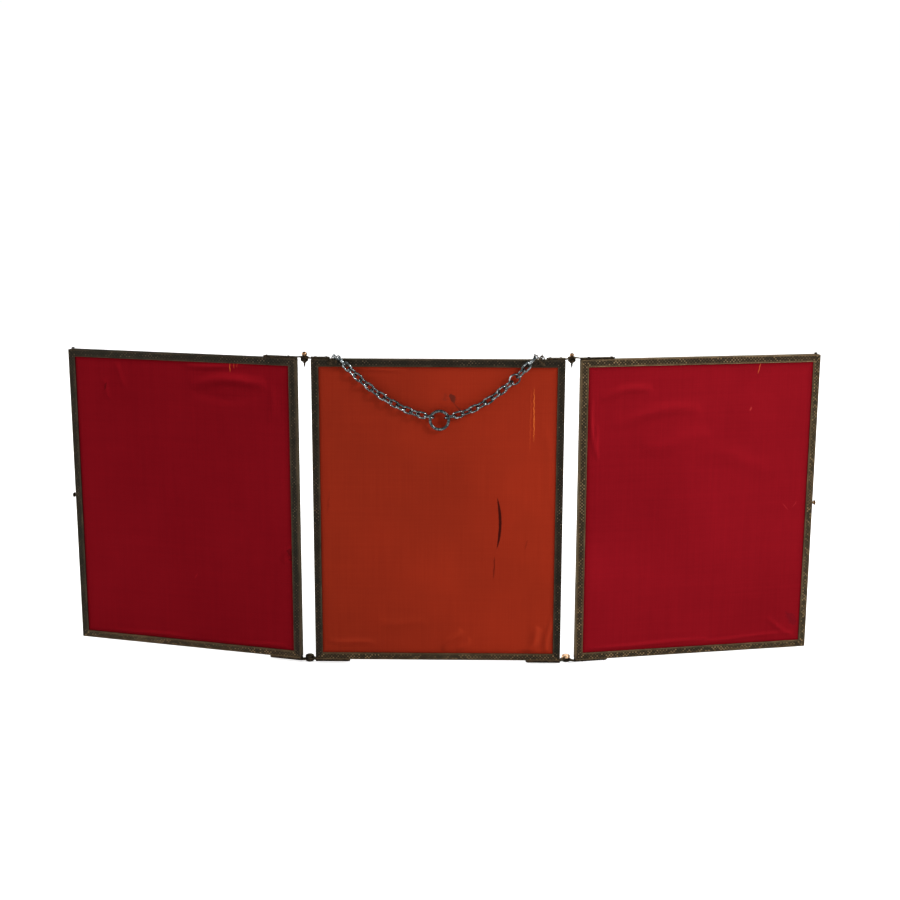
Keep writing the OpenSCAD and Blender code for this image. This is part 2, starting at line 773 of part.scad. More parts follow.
centre_top_rail();
centre_bottom_rail();
on_centre() rail("near");  // centre_left_rail
on_centre() rail("far");  // centre_right_rail
on_centre() mirror_glass();  // centre_mirror
on_centre() felt();  // centre_felt
on_centre() board();  // centre_board
on_centre() satin([0.56, 0.14, 0.07]);  // centre_satin
wing_top_rail(LEFT);  // left_top_rail
wing_bottom_rail(LEFT);  // left_bottom_rail
on_wing(LEFT) rail("near");  // left_inner_rail
wing_outer_rail(LEFT);  // left_outer_rail
on_wing(LEFT) mirror_glass();  // left_mirror
on_wing(LEFT) felt();  // left_felt
on_wing(LEFT) board();  // left_board
on_wing(LEFT) satin([0.42, 0.03, 0.07]);  // left_satin
wing_top_rail(RIGHT);  // right_top_rail
wing_bottom_rail(RIGHT);  // right_bottom_rail
on_wing(RIGHT) rail("near");  // right_inner_rail
wing_outer_rail(RIGHT);  // right_outer_rail
on_wing(RIGHT) mirror_glass();  // right_mirror
on_wing(RIGHT) felt();  // right_felt
on_wing(RIGHT) board();  // right_board
on_wing(RIGHT) satin([0.5, 0.03, 0.08]);  // right_satin
centre_strap(LEFT, TOP);  // top_left_centre_strap
wing_strap(LEFT, TOP);  // top_left_wing_strap
centre_strap(RIGHT, TOP);  // top_right_centre_strap
wing_strap(RIGHT, TOP);  // top_right_wing_strap
centre_strap(LEFT, BOTTOM);  // bottom_left_centre_strap
wing_strap(LEFT, BOTTOM);  // bottom_left_wing_strap
centre_strap(RIGHT, BOTTOM);  // bottom_right_centre_strap
wing_strap(RIGHT, BOTTOM);  // bottom_right_wing_strap
centre_rivets();
wing_rivets(LEFT);  // left_rivets
wing_rivets(RIGHT);  // right_rivets
top_pin(LEFT, left_ball_r);  // top_left_pin
top_pin(RIGHT, right_ball_r);  // top_right_pin
bottom_pin(LEFT);  // bottom_left_pin
bottom_pin(RIGHT);  // bottom_right_pin
finial(LEFT, left_drop_l);  // top_left_finial
finial(RIGHT, right_drop_l);  // top_right_finial
bottom_nut(LEFT);  // bottom_left_nut
bottom_nut(RIGHT);  // bottom_right_nut
knob(LEFT);  // left_knob
knob(RIGHT);  // right_knob
stud(LEFT);  // left_stud
stud(RIGHT);  // right_stud
hanger_eye(LEFT);  // left_hanger_eye
hanger_eye(RIGHT);  // right_hanger_eye
hanger_screw();
wire_tie(LEFT);  // left_wire_tie
wire_tie(RIGHT);  // right_wire_tie
chain_half(LEFT);  // left_chain
chain_half(RIGHT);  // right_chain
round_replacement();  // replacement_link
ring();  // hanging_ring
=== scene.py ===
"""Looks of the folding triptych mirror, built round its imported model."""

import json
import logging
import math
from collections.abc import Iterable
from dataclasses import dataclass, field
from enum import Enum

import bmesh
import bpy
import numpy as np
from bpy.types import ID, Material, Node, NodeSocket, NodeTree, Object
from mathutils import Matrix, Vector


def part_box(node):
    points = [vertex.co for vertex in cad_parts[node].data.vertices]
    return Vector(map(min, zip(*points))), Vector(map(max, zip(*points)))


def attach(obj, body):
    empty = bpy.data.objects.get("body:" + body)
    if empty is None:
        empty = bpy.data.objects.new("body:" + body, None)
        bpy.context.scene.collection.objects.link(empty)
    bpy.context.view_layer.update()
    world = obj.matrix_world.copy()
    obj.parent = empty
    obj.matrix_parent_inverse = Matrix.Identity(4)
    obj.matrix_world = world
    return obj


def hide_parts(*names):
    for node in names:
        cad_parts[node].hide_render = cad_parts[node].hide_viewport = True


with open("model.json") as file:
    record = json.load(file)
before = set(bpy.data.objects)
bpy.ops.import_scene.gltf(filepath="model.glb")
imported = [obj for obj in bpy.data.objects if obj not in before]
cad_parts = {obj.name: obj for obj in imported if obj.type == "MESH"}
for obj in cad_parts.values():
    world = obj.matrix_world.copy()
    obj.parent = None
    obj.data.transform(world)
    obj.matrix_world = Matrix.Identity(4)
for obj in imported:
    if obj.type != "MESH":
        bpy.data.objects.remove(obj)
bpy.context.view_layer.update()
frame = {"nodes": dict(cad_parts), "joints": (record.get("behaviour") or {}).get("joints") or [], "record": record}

MM = 0.001
Triple = tuple[float, float, float]
LAYER = "flat"
MERGE = 2e-6  # how near two corners lie that are taken as one, in metres
DEGENERATE = 1e-6
SHARP = math.radians(32)
BEVEL_STEPS = 2
SCATTER = (12.99, 78.23, 37.7, 437.58)  # mixes a dot's row, column and lattice into its shine
SHORTER, LOWER = 0.74, 0.8  # how each wave compares with the one before
log = logging.getLogger("triptych")


class Edge(Enum):
    """The four rails of a panel's frame, named from the panel's hinge side or left side."""

    NEAR = "near"
    FAR = "far"
    TOP = "top"
    BOTTOM = "bottom"


# ---- Meshes ----


def add_object(name: str, data: ID) -> Object:
    """Puts a mesh, a light or a camera into the scene, at the origin.

    Args:
        name: Name of the object.
        data: What it shows.

    Returns:
        The new object.
    """
    made = bpy.data.objects.new(name, data)
    bpy.context.scene.collection.objects.link(made)
    return made


def surface(
    name: str,
    points: np.ndarray,
    closed: bool = False,
    ends: bool = False,
    values: dict[str, np.ndarray] | None = None,
    uv: np.ndarray | None = None,
) -> Object:
    """Makes a mesh of four-sided faces over a grid of points.

    Args:
        name: Name of the new piece.
        points: Array of rows, columns and coordinates, in metres.
        closed: Whether the last row joins the first.
        ends: Whether the first and last column are closed with one face each.
        values: Named numbers for each point of the grid.
        uv: Flat coordinates of each point of the grid.

    Returns:
        The new object, at the origin.
    """
    rows, columns = points.shape[:2]
    u = np.arange(rows if closed else rows - 1)
    v = np.arange(columns - 1)
    a = u[:, None] * columns + v[None, :]
    b = ((u + 1) % rows)[:, None] * columns + v[None, :]
    quads = np.stack([a, b, b + 1, a + 1], -1).reshape(-1, 4)
    corners = quads.ravel()
    starts = np.arange(len(quads)) * 4
    if ends:
        first = np.arange(rows)[::-1] * columns
        last = np.arange(rows) * columns + columns - 1
        starts = np.concatenate([starts, [len(corners), len(corners) + rows]])
        corners = np.concatenate([corners, first, last])
    mesh = bpy.data.meshes.new(name)
    mesh.vertices.add(rows * columns)
    mesh.vertices.foreach_set("co", points.reshape(-1).astype(np.float32))
    mesh.loops.add(len(corners))
    mesh.loops.foreach_set("vertex_index", corners.astype(np.int32))
    mesh.polygons.add(len(starts))
    mesh.polygons.foreach_set("loop_start", starts.astype(np.int32))
    mesh.update(calc_edges=True)
    for key, numbers in (values or {}).items():
        layer = mesh.attributes.new(key, "FLOAT", "POINT")
        layer.data.foreach_set("value", numbers.reshape(-1).astype(np.float32))
    if uv is not None:
        layer = mesh.uv_layers.new(name=LAYER)
        layer.data.foreach_set("uv", uv.reshape(-1, 2)[corners].reshape(-1).astype(np.float32))
    mesh.shade_smooth()
    return add_object(name, mesh)


def face_outwards(piece: Object) -> None:
    """Turns every face of a closed mesh outwards.

    Args:
        piece: The object whose mesh is put right.
    """
    work = bmesh.new()
    work.from_mesh(piece.data)
    bmesh.ops.recalc_face_normals(work, faces=work.faces)
    work.to_mesh(piece.data)
    work.free()


def softened_copy(node: str, bevel: float = 0.0, smooth_to: float = SHARP) -> Object:
    """Copies a metal fitting, joins its loose faces and softens its edges.

    Args:
        node: Name of the part that the copy stands for.
        bevel: Width of the softened edges in metres, or 0 for none.
        smooth_to: Angle up to which faces are shaded as one.

    Returns:
        The new object.
    """
    mesh = frame["nodes"][node].data.copy()
    mesh.name = f"{node}_metal"
    mesh.materials.clear()
    work = bmesh.new()
    work.from_mesh(mesh)
    bmesh.ops.remove_doubles(work, verts=work.verts, dist=MERGE)
    bmesh.ops.dissolve_degenerate(work, dist=DEGENERATE, edges=work.edges)
    work.to_mesh(mesh)
    work.free()
    mesh.shade_smooth()
    mesh.set_sharp_from_angle(angle=smooth_to)
    piece = add_object(mesh.name, mesh)
    if bevel:
        soften = piece.modifiers.new("soft_edges", "BEVEL")
        soften.width = bevel
        soften.segments = BEVEL_STEPS
        soften.limit_method = "ANGLE"
        soften.angle_limit = SHARP
        soften.use_clamp_overlap = True
        soften.harden_normals = True
    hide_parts(node)
    return piece


def bell(at: np.ndarray, middle: float, width: float, height: float) -> np.ndarray:
    """Works out a bell curve.

    Args:
        at: Where it is wanted.
        middle: Where its crown is.
        width: Distance from the crown at which it has fallen to a third.
        height: Height of its crown.

    Returns:
        Its height at each place.
    """
    return height * np.exp(-(((at - middle) / width) ** 2))


def band(at: np.ndarray, low: float, high: float, soft: float = 0.5) -> np.ndarray:
    """Works out a band that is 1 inside, 0 outside, and soft on its inner sides.

    Args:
        at: Where it is wanted.
        low: Where it starts.
        high: Where it ends.
        soft: Width of its soft sides.

    Returns:
        Its value at each place.
    """
    return np.clip(np.minimum(at - low, high - at) / soft, 0, 1)


def arc(x: float, y: float, radius: float, degrees: Iterable[float]) -> list[tuple]:
    """Works out points of an arc.

    Args:
        x: First coordinate of its middle.
        y: Second coordinate of its middle.
        radius: Its radius.
        degrees: The points' angles.

    Returns:
        Each point's two coordinates and its outward normal's two parts.
    """
    turns = [math.radians(angle) for angle in degrees]
    ways = [(math.cos(turn), math.sin(turn)) for turn in turns]
    return [(x + radius * c, y + radius * s, c, s) for c, s in ways]


def staggered_dots(along: np.ndarray, across: np.ndarray, pitch: float, radius: float) -> tuple:
    """Works out punched dots: two square lattices half a pitch apart, each dot a bell.

    A dot's shine is the fractional part of a large sine of its place, so each has its own.

    Args:
        along: Distance along the rail.
        across: Distance across it.
        pitch: Distance between a lattice's dots.
        radius: Radius at which a dot has fallen to a third.

    Returns:
        The height and the shine at each point, both from 0 to 1.
    """
    by_row, by_column, by_lattice, spread = SCATTER
    height = np.zeros(np.broadcast(along, across).shape)
    shine = np.zeros(height.shape)
    for shift in (0.0, 0.5):
        row, column = along / pitch + shift + 0.5, across / pitch + shift + 0.5
        u, v = row % 1 - 0.5, column % 1 - 0.5
        dot = np.exp(-(u * u + v * v) * (pitch / radius) ** 2)
        phase = np.floor(row) * by_row + np.floor(column) * by_column + shift * by_lattice
        own = np.abs(np.sin(phase) * spread) % 1
        shine = np.maximum(shine, dot * own)
        height = np.maximum(height, dot)
    return height, shine


def waves(x: np.ndarray, z: np.ndarray, seed: int, longest: float, count: int = 7) -> np.ndarray:
    """Works out smooth unevenness from -1 to 1.

    It is a sum of plane waves in seeded directions, each shorter and lower than the one before.

    Args:
        x: First coordinate.
        z: Second coordinate.
        seed: Seed of the directions and phases.
        longest: Longest wavelength.
        count: Number of waves.

    Returns:
        The height at each point.
    """
    random = np.random.default_rng(seed)
    total = np.zeros(np.broadcast(x, z).shape)
    weight = 0.0
    for step in range(count):
        angle, phase = random.uniform(0, 2 * math.pi, 2)
        size = longest * SHORTER**step
        run = (x * math.cos(angle) + z * math.sin(angle)) * 2 * math.pi / size
        total += LOWER**step * np.sin(run + phase)
        weight += LOWER**step
    return total / weight


# ---- Shader nodes ----

SIGNS = {"+": "ADD", "-": "SUBTRACT", "*": "MULTIPLY", "/": "DIVIDE"}
BLOTCH_SCALE = 90.0
SPECK_SCALE = 900.0
CLOUD_SHIFT = (0.31, 0.17, 0.23)
SOOT = (0.012, 0.011, 0.009, 1)
PIT_BLACK = (0.004, 0.004, 0.0035, 1)
WARP_TURN = 6283.2  # radians of warp in a metre of cloth, for threads one unit apart
PICK_TURN = 9000.0
WARP_STRETCH = (900, 14, 1)
WEFT_STRETCH = (10, 700, 1)
RAGGED_SCALE = 260.0
SMALLEST = 0.001


def opaque(colour: tuple[float, ...], share: float = 1.0) -> tuple[float, ...]:
    """Makes an opaque colour.

    Args:
        colour: Its red, green and blue.
        share: How bright it becomes.

    Returns:
        The colour with its alpha, each part at most 1.
    """
    return (*(min(1.0, share * part) for part in colour), 1)


class Graph:
    """Places nodes in one shader tree and joins them."""

    def __init__(self, tree: NodeTree) -> None:
        """Keeps the tree.

        Args:
            tree: The material's or group's tree.
        """
        self.tree = tree

    def fill(self, node: Node, inputs: dict) -> None:
        """Joins sockets to a node's inputs and sets the inputs that are given a constant.

        Args:
            node: The node.
            inputs: Sockets or constants by the input's name or number.
        """
        for key, value in inputs.items():
            if isinstance(value, NodeSocket):
                self.tree.links.new(value, node.inputs[key])
            else:
                node.inputs[key].default_value = value

    def add(self, kind: str, inputs: dict | None = None, **settings: object) -> Node:
        """Adds a node, sets it and joins its inputs.

        Args:
            kind: Blender's name of the node.
            inputs: Sockets or constants by the input's name or number.
            **settings: The node's own settings.

        Returns:
            The new node.
        """
        node = self.tree.nodes.new(kind)
        for key, value in settings.items():
            setattr(node, key, value)
        self.fill(node, inputs or {})
        return node

    def group(self, name: str, inputs: dict) -> Node:
        """Adds a node group.

        Args:
            name: Name of the group.
            inputs: Its constants.

        Returns:
            The group's node.
        """
        tree = bpy.data.node_groups[name]
        return self.add("ShaderNodeGroup", inputs, node_tree=tree)

    def coordinates(self, kind: str) -> NodeSocket:
        """Adds texture coordinates.

        Args:
            kind: Name of the output that is used.

        Returns:
            The coordinates.
        """
        return self.add("ShaderNodeTexCoord").outputs[kind]

    def flat(self) -> NodeSocket:
        """Adds the flat coordinates of cloth, in metres.

        Returns:
            The coordinates.
        """
        return self.add("ShaderNodeUVMap", uv_map=LAYER).outputs[0]

    def attribute(self, name: str) -> NodeSocket:
        """Adds a number that the mesh keeps for each point.

        Args:
            name: Name of the attribute.

        Returns:
            The number.
        """
        return self.add("ShaderNodeAttribute", None, attribute_name=name).outputs["Fac"]

    def math(self, operation: str, *inputs: object, clamp: bool = False) -> NodeSocket:
        """Adds a Math node.

        Args:
            operation: Its sign, or Blender's name for what it does.
            *inputs: Its numbers or sockets, in order.
            clamp: Whether the result stays from 0 to 1.

        Returns:
            Its result.
        """
        keys = dict(enumerate(inputs))
        kind = SIGNS.get(operation, operation)
        return self.add("ShaderNodeMath", keys, operation=kind, use_clamp=clamp).outputs[0]

    def ramp(
        self, value: object, low: float, high: float, bottom: float = 0.0, top: float = 1.0
    ) -> NodeSocket:
        """Adds a clamped straight ramp.

        Args:
            value: What goes in.
            low: The value that gives bottom.
            high: The value that gives top.
            bottom: Result at low.
            top: Result at high.

        Returns:
            The result's socket.
        """
        keys = {"Value": value, "From Min": low, "From Max": high, "To Min": bottom, "To Max": top}
        return self.add("ShaderNodeMapRange", keys).outputs[0]

    def mix(self, factor: object, first: object, second: object) -> NodeSocket:
        """Adds a colour mix.

        Args:
            factor: Share of the second colour.
            first: First colour or socket.
            second: Second colour or socket.

        Returns:
            The mixed colour.
        """
        keys = {0: factor, 6: first, 7: second}  # the node's factor and its two colours
        return self.add("ShaderNodeMix", keys, data_type="RGBA", clamp_result=True).outputs[2]

    def noise(
        self, place: object, scale: object, detail: float = 4.0, rough: float = 0.55
    ) -> NodeSocket:
        """Adds a noise texture.

        Args:
            place: Coordinates.
            scale: Its scale.
            detail: Number of finer layers.
            rough: Strength of the finer layers.

        Returns:
            Its value.
        """
        keys = {"Vector": place, "Scale": scale, "Detail": detail, "Roughness": rough}
        return self.add("ShaderNodeTexNoise", keys).outputs[0]

    def bump(self, height: object, strength: float, distance: float) -> NodeSocket:
        """Adds a bump.

        Args:
            height: The height.
            strength: Its strength.
            distance: Height in metres of a step from 0 to 1.

        Returns:
            The bumped normal.
        """
        keys = {"Height": height, "Strength": strength, "Distance": distance}
        return self.add("ShaderNodeBump", keys).outputs[0]


def new_group(name: str, inputs: dict[str, object], outputs: dict[str, str]) -> tuple:
    """Starts a shader node group.

    Args:
        name: Name of the group.
        inputs: Default of each input. A tuple is a colour, a number is a float.
        outputs: Kind of each output: "Float" or "Color".

    Returns:
        The group's tree, its graph, its input node's sockets and its output node.
    """
    tree = bpy.data.node_groups.new(name, "ShaderNodeTree")
    for key, value in inputs.items():
        kind = "NodeSocketColor" if isinstance(value, tuple) else "NodeSocketFloat"
        tree.interface.new_socket(key, in_out="INPUT", socket_type=kind).default_value = value
    for key, kind in outputs.items():
        tree.interface.new_socket(key, in_out="OUTPUT", socket_type="NodeSocket" + kind)
    graph = Graph(tree)
    return tree, graph, graph.add("NodeGroupInput").outputs, graph.add("NodeGroupOutput")


def new_material(name: str) -> tuple:
    """Starts a material.

    Args:
        name: Name of the material.

    Returns:
        The material, its graph and its shader.
    """
    made = bpy.data.materials.new(name)
    made.use_nodes = True
    return made, Graph(made.node_tree), made.node_tree.nodes["Principled BSDF"]


def tarnish_group() -> NodeTree:
    """Builds the group that tarnishes metal: blotches of patina and green, bare where it is rubbed.

    Returns:
        The group's tree.
    """
    inputs = {
        "Bare": (0.5, 0.4, 0.2, 1),
        "Patina": (0.1, 0.09, 0.06, 1),
        "Green": (0.1, 0.14, 0.1, 1),
        "Green Amount": 0.4,
        "Rub": 0.0,
        "Pit": 0.0,
        "Shine": 0.0,
        "Size": 1.0,
        "Roughness": 0.5,
    }
    outputs = {"Color": "Color", "Roughness": "Float", "Metallic": "Float", "Height": "Float"}
    tree, graph, given, result = new_group("tarnish", inputs, outputs)
    place = graph.coordinates("Object")
    near = graph.math("/", BLOTCH_SCALE, given["Size"])
    blotch = graph.noise(place, near, 5, 0.6)
    speck = graph.noise(place, graph.math("/", SPECK_SCALE, given["Size"]), 3, 0.6)
    keys = {"Vector": place, "Location": CLOUD_SHIFT}
    shifted = graph.add("ShaderNodeMapping", keys).outputs[0]
    cloud = graph.noise(shifted, graph.math("*", near, 0.4), 4, 0.6)
    green = graph.math("*", graph.ramp(cloud, 0.42, 0.62), given["Green Amount"])
    tint = graph.mix(green, given["Patina"], given["Green"])
    tint = graph.mix(graph.ramp(blotch, 0.35, 0.7, 0.0, 0.18), tint, given["Bare"])
    tint = graph.mix(graph.ramp(speck, 0.52, 0.7, 0.0, 0.55), tint, SOOT)
    tint = graph.mix(graph.math("*", given["Pit"], 0.88), tint, PIT_BLACK)
    patches = graph.ramp(cloud, 0.35, 0.6, 0.35, 1.0)
    tint = graph.mix(graph.math("*", given["Shine"], patches, clamp=True), tint, given["Bare"])
    bare = graph.math("*", given["Rub"], graph.ramp(blotch, 0.25, 0.7, 0.45, 1.1), clamp=True)
    rough = graph.math("+", given["Roughness"], graph.ramp(speck, 0.3, 0.7, -0.1, 0.12))
    results = {
        "Color": graph.mix(bare, tint, given["Bare"]),
        "Roughness": graph.math("-", rough, graph.math("*", bare, 0.16), clamp=True),
        "Metallic": graph.ramp(bare, 0.0, 1.0, 0.82, 0.98),
        "Height": graph.math("+", speck, graph.math("*", blotch, 1.5)),
    }
    graph.fill(result, results)
    return tree


def weave_group() -> NodeTree:
    """Builds the group for satin: fine warp threads, uneven slubs along both ways, broad fading.

    Returns:
        The group's tree.
    """
    inputs = {"Thread": 0.28, "Slub": 1.0, "Shift": 0.0}
    outputs = {"Slub": "Float", "Fade": "Float", "Across": "Float", "Height": "Float"}
    tree, graph, given, result = new_group("satin_weave", inputs, outputs)
    flat = graph.flat()
    keys = {0: flat, 1: given["Shift"]}
    moved = graph.add("ShaderNodeVectorMath", keys, operation="ADD").outputs[0]
    split = graph.add("ShaderNodeSeparateXYZ", {0: flat}).outputs
    turn = graph.math("/", graph.math("*", split[0], WARP_TURN), given["Thread"])
    warp = graph.math("SINE", turn)
    lean = graph.math("+", split[1], graph.math("*", split[0], 0.4))
    pick = graph.math("SINE", graph.math("*", lean, PICK_TURN))
    slubs = []
    for stretch in (WARP_STRETCH, WEFT_STRETCH):
        keys = {"Vector": moved, "Scale": stretch}
        way = graph.add("ShaderNodeMapping", keys).outputs[0]
        slubs.append(graph.noise(way, 1.0, 3))
    slub = graph.math("+", slubs[0], graph.math("*", slubs[1], 0.7))
    slub = graph.math("*", graph.ramp(slub, 0.6, 1.1), given["Slub"])
    threads = graph.math("+", graph.math("*", warp, 0.35), graph.math("*", pick, 0.15))
    results = {
        "Slub": slub,
        "Fade": graph.noise(moved, 9.0, 3, 0.5),
        # painted light: a ramp across the cover's width, brighter towards one side as the light falls
        "Across": graph.ramp(split[0], 0.0, 0.24, -0.5, 0.5),
        "Height": graph.math("+", threads, slub),
    }
    graph.fill(result, results)
    return tree


def mark_group() -> NodeTree:
    """Builds the group for a thin bowed mark on cloth.

    The mark lies where x is its middle plus its lean and bow times the height above its middle,
    fades at both ends and is ragged along its sides.

    Returns:
        The group's tree.
    """
    inputs = {
        "Middle X": 0.0,
        "Middle Z": 0.0,
        "Half Length": 0.02,
        "Half Width": 0.0005,
        "Lean": 0.0,
        "Bow": 0.0,
        "Ragged": 0.3,
    }
    tree, graph, given, result = new_group("bowed_mark", inputs, {"Mask": "Float"})
    flat = graph.flat()
    split = graph.add("ShaderNodeSeparateXYZ", {0: flat}).outputs
    up = graph.math("-", split[1], given["Middle Z"])
    bow = graph.math("*", graph.math("*", up, up), given["Bow"])
    line = graph.math("+", given["Middle X"], graph.math("*", up, given["Lean"]))
    line = graph.math("+", line, bow)
    wobble = graph.math("-", graph.noise(flat, RAGGED_SCALE, 3), 0.5)
    reach = graph.math("*", given["Half Width"], 6.0)
    wobble = graph.math("*", graph.math("*", wobble, given["Ragged"]), reach)
    off = graph.math("ABSOLUTE", graph.math("+", graph.math("-", split[0], line), wobble))
    share = graph.math("/", graph.math("ABSOLUTE", up), given["Half Length"])
    thin = graph.math("-", 1.0, graph.math("POWER", share, 3.0), clamp=True)
    edge = graph.math("*", given["Half Width"], graph.math("MAXIMUM", thin, SMALLEST))
    mask = graph.ramp(graph.math("/", off, edge), 1.25, 0.6)
    shown = graph.math("GREATER_THAN", thin, 2 * SMALLEST)
    graph.fill(result, {"Mask": graph.math("*", mask, shown)})
    return tree


# ---- Finishes ----


@dataclass(frozen=True)
class MetalFinish:
    """Tarnished metal: its bare colour, its patina, its green, and how they are spread.

    Handled metal is rubbed in noise patches. Other metal reads its rubbing, pits and shine from
    the mesh.
    """

    name: str
    bare: Triple
    patina: Triple
    green: Triple
    green_amount: float = 0.4
    roughness: float = 0.5
    size: float = 1.0
    grain: float = 0.35
    handled: float = 0.0
    coat: float = 0.0
    worn: float = 1.0
    shines_from: float = 0.45
    rim: Triple = (0.62, 0.56, 0.46)
    handled_scale: float = 430.0
    shine_span: float = 0.33
    coat_roughness: float = 0.12
    grain_height: float = 0.0002

    def material(self) -> Material:
        """Builds the material, or finds it if it is there.

        Returns:
            The material.
        """
        found = bpy.data.materials.get(self.name)
        if found:
            return found
        made, graph, shader = new_material(self.name)
        keys = {
            "Bare": opaque(self.bare),
            "Patina": opaque(self.patina),
            "Green": opaque(self.green),
            "Green Amount": self.green_amount,
            "Roughness": self.roughness,
            "Size": self.size,
        }
        tarnish = graph.group("tarnish", keys)
        if self.handled:
            patches = graph.noise(graph.coordinates("Object"), self.handled_scale, 2)
            worn = {"Rub": graph.ramp(patches, 0.5, 0.62, 0.0, self.handled)}
        else:
            full = self.shines_from + self.shine_span
            worn = {
                "Rub": graph.math("*", graph.attribute("rub"), self.worn),
                "Pit": graph.attribute("pit"),
                "Shine": graph.ramp(graph.attribute("shine"), self.shines_from, full),
            }
        graph.fill(tarnish, worn)
        result = tarnish.outputs
        looks = {
            "Specular Tint": opaque(self.rim),
            "Coat Weight": self.coat,
            "Coat Roughness": self.coat_roughness,
            "Base Color": result["Color"],
            "Roughness": result["Roughness"],
            "Metallic": result["Metallic"],
            "Normal": graph.bump(result["Height"], self.grain, self.grain_height),
        }
        graph.fill(shader, looks)
        return made


@dataclass(frozen=True)
class Mark:
    """A slit, worn thread, stain or painted crease highlight on a cover, in metres from the cover's lower corner.
    """

    x: float
    z: float
    half_length: float
    half_width: float
    colour: Triple
    strength: float = 1.0
    lean: float = 0.0
    bow: float = 0.0
    ragged: float = 0.3

    def over(self, colour: object, graph: Graph) -> NodeSocket:
        """Lays the mark over a cloth's colour.

        Args:
            colour: The colour below it.
            graph: The material's graph.

        Returns:
            The colour with the mark.
        """
        keys = {
            "Middle X": self.x,
            "Middle Z": self.z,
            "Half Length": self.half_length,
            "Half Width": self.half_width,
            "Lean": self.lean,
            "Bow": self.bow,
            "Ragged": self.ragged,
        }
        mask = graph.group("bowed_mark", keys).outputs[0]
        return graph.mix(graph.math("*", mask, self.strength), colour, opaque(self.colour))


@dataclass(frozen=True)
class SatinFinish:
    """Silk satin: its colour, a deeper one for its fading and painted shade, a lighter one for its slubs and
    painted highlights.
    """

    name: str
    base: Triple
    deep: Triple
    light: Triple
    # strength of the painted light across the cover's width
    painted_light_across: float = 0.0
    shift: float = 0.0
    marks: tuple[Mark, ...] = ()
    sheen: float = 0.12
    sheen_roughness: float = 0.35
    gloss_colour: float = 1.6
    slub: float = 0.08
    # strength and colour of the painted shade along the cover's edges, by the rails' lips
    edge_shade_strength: float = 0.8
    edge_shade_colour: float = 0.45
    # strengths of the painted highlight and painted shade on the two sides of each crease, and the shade's colour
    nap: float = 0.4
    painted_fold_shade: float = 0.55
    shade_colour: float = 0.3
    thread_strength: float = 0.2
    thread_height: float = 0.0001

    def material(self) -> Material:
        """Builds the material.

        Returns:
            The material.
        """
        made, graph, shader = new_material(self.name)
        weave = graph.group("satin_weave", {"Shift": self.shift}).outputs
        # painted light across the width, added to the random fading
        bright = graph.math("*", weave["Across"], self.painted_light_across)
        bright = graph.math("+", graph.ramp(weave["Fade"], 0.25, 0.75), bright, clamp=True)
        light = opaque(self.light)
        colour = graph.mix(bright, opaque(self.deep), opaque(self.base))
        colour = graph.mix(graph.math("*", weave["Slub"], self.slub), colour, light)
        # painted shade: the cover darkens towards the rails' lips
        tucked = graph.math("*", graph.attribute("tucked"), self.edge_shade_strength)
        colour = graph.mix(tucked, colour, opaque(self.deep, self.edge_shade_colour))
        # painted highlight on the side of each crease that faces the light, painted shade on the other side
        nap = graph.attribute("nap")
        colour = graph.mix(graph.ramp(nap, 0.0, 1.0, 0.0, self.nap), colour, light)
        shade = graph.ramp(nap, 0.0, -1.0, 0.0, self.painted_fold_shade)
        colour = graph.mix(shade, colour, opaque(self.deep, self.shade_colour))
        for mark in self.marks:
            colour = mark.over(colour, graph)
        looks = {
            "Base Color": colour,
            "Roughness": graph.ramp(weave["Slub"], 0.0, 1.0, 0.42, 0.36),
            "Specular IOR Level": 0.0,
            "Specular Tint": opaque(self.light, self.gloss_colour),
            "Sheen Weight": self.sheen,
            "Sheen Roughness": self.sheen_roughness,
            "Sheen Tint": light,
            "Normal": graph.bump(weave["Height"], self.thread_strength, self.thread_height),
        }
        graph.fill(shader, looks)
        return made


@dataclass(frozen=True)
class PlateFinish:
    """A flat plate's finish: silvered glass, felt or millboard."""

    name: str
    light: Triple
    dark: Triple
    roughness: float
    metallic: float = 0.0
    size: float = 300.0
    nap_strength: float = 0.4
    nap_height: float = 0.0002

    def material(self) -> Material:
        """Builds the material, or finds it if it is there.

        Returns:
            The material.
        """
        found = bpy.data.materials.get(self.name)
        if found:
            return found
        made, graph, shader = new_material(self.name)
        cloud = graph.noise(graph.coordinates("Object"), self.size, 5, 0.62)
        smooth, rough = 0.7 * self.roughness, 1.3 * self.roughness
        tint = graph.ramp(cloud, 0.35, 0.7)
        looks = {
            "Base Color": graph.mix(tint, opaque(self.light), opaque(self.dark)),
            "Roughness": graph.ramp(cloud, 0.35, 0.75, smooth, rough),
            "Metallic": self.metallic,
        }
        if not self.metallic:
            looks["Normal"] = graph.bump(cloud, self.nap_strength, self.nap_height)
        graph.fill(shader, looks)
        return made


BRONZE = MetalFinish(
    "dark_bronze", (0.12, 0.083, 0.05), (0.0182, 0.0133, 0.0086), (0.0112, 0.0132, 0.0092),
    green_amount=0.6, worn=0.35,
)
OLIVE_BRASS = MetalFinish(
    "olive_brass", (0.19, 0.125, 0.064), (0.0435, 0.027, 0.0135), (0.021, 0.0215, 0.013),
    green_amount=0.5, roughness=0.46, worn=0.55, shines_from=0.25,
)
WARM_BRASS = MetalFinish(
    "warm_brass", (0.23, 0.152, 0.075), (0.042, 0.0295, 0.0152), (0.018, 0.021, 0.0128),
    roughness=0.44, worn=0.5, shines_from=0.18,
)
BRASS_FITTING = MetalFinish(
    "fitting_bronze", (0.1, 0.066, 0.036), (0.0085, 0.006, 0.004), (0.007, 0.0072, 0.005),
    roughness=0.42, size=0.4, grain=0.25, handled=0.4,
)
RUBBED_BALL = MetalFinish(
    "rubbed_copper", (0.42, 0.24, 0.12), (0.1, 0.054, 0.027), (0.05, 0.036, 0.022),
    green_amount=0.3, roughness=0.26, size=0.4, grain=0.2, handled=0.8,
)
